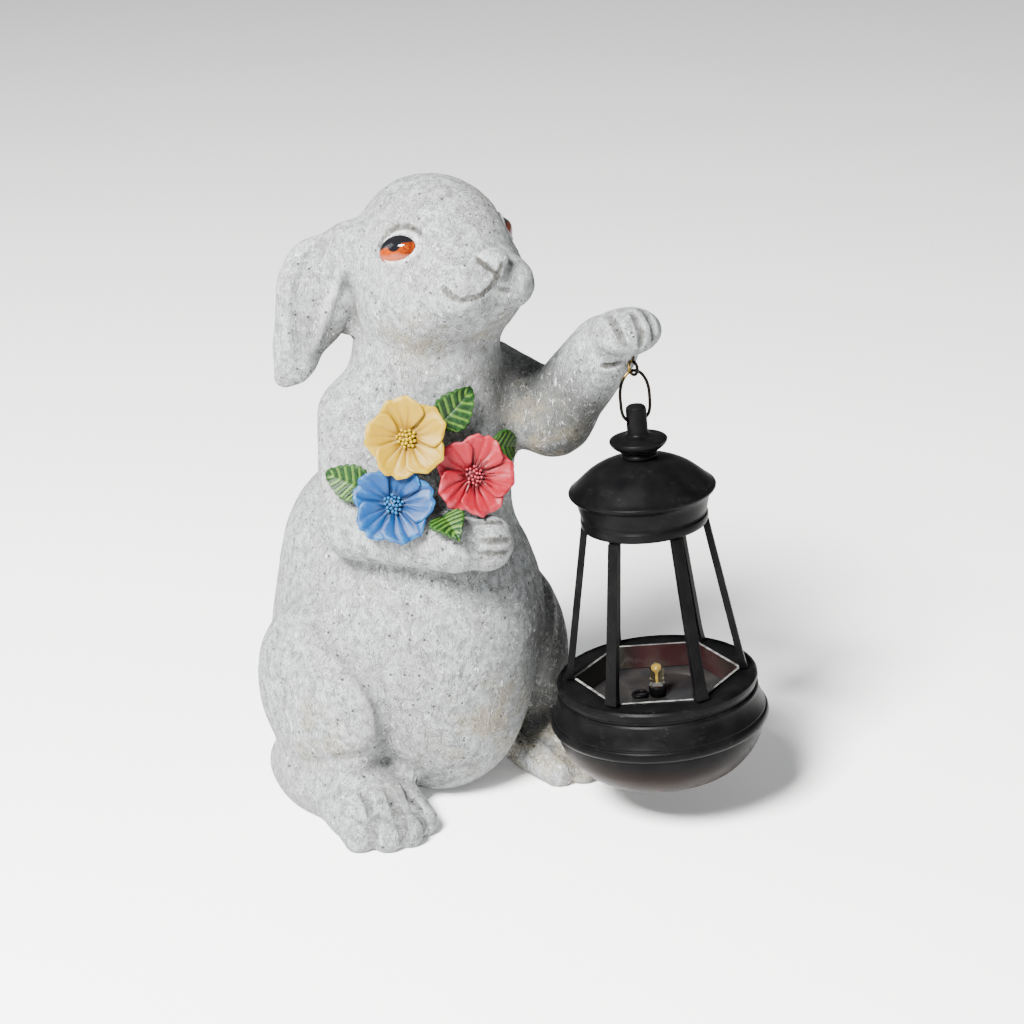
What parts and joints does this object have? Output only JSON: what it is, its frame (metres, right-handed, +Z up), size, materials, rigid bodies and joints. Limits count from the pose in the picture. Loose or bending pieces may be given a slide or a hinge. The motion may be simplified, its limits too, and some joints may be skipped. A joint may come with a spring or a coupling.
{
  "type": "solar rabbit garden statue",
  "caption": "Sitting cast-stone-look rabbit holding a posy of painted flowers in one arm, with a small black solar lantern hanging from its raised paw.",
  "frame": {"origin": "on the ground at the middle of the flat underside, below the figure's middle plane", "axes": "+Z up, the rabbit faces -Y, its raised paw and the lantern on +X"},
  "size_m": [0.1441, 0.1854, 0.2231],
  "materials": {
    "cast_stone": "rough grey faux stone",
    "eye_gloss": "glossy amber and black",
    "yellow_paint": "matte paint",
    "red_paint": "matte paint",
    "blue_paint": "matte paint",
    "leaf_green": "matte paint",
    "black_plastic": "satin black",
    "tray_plate": "glossy dark plate",
    "black_wire": "blackened wire, worn",
    "clear_lens": "clear lamp lens"
  },
  "bodies": {
    "root": {"rabbit": "cast_stone", "eye_right": "eye_gloss", "eye_left": "eye_gloss", "flower_yellow": "yellow_paint", "flower_red": "red_paint", "flower_blue": "blue_paint", "leaf_top": "leaf_green", "leaf_left": "leaf_green", "leaf_right": "leaf_green", "leaf_bottom": "leaf_green", "lantern_base": "black_plastic", "lantern_rim": "black_plastic", "lantern_floor": "tray_plate", "lantern_roof": "black_plastic", "lantern_knob": "black_plastic", "lantern_ring": "black_wire", "paw_eyelet": "black_wire", "led_bulb": "clear_lens", "led_holder": "black_plastic", "floor_grommet": "black_plastic", "lantern_post_1": "black_plastic", "lantern_post_2": "black_plastic", "lantern_post_3": "black_plastic", "lantern_post_4": "black_plastic", "lantern_post_5": "black_plastic", "lantern_post_6": "black_plastic"}
  },
  "joints": []
}
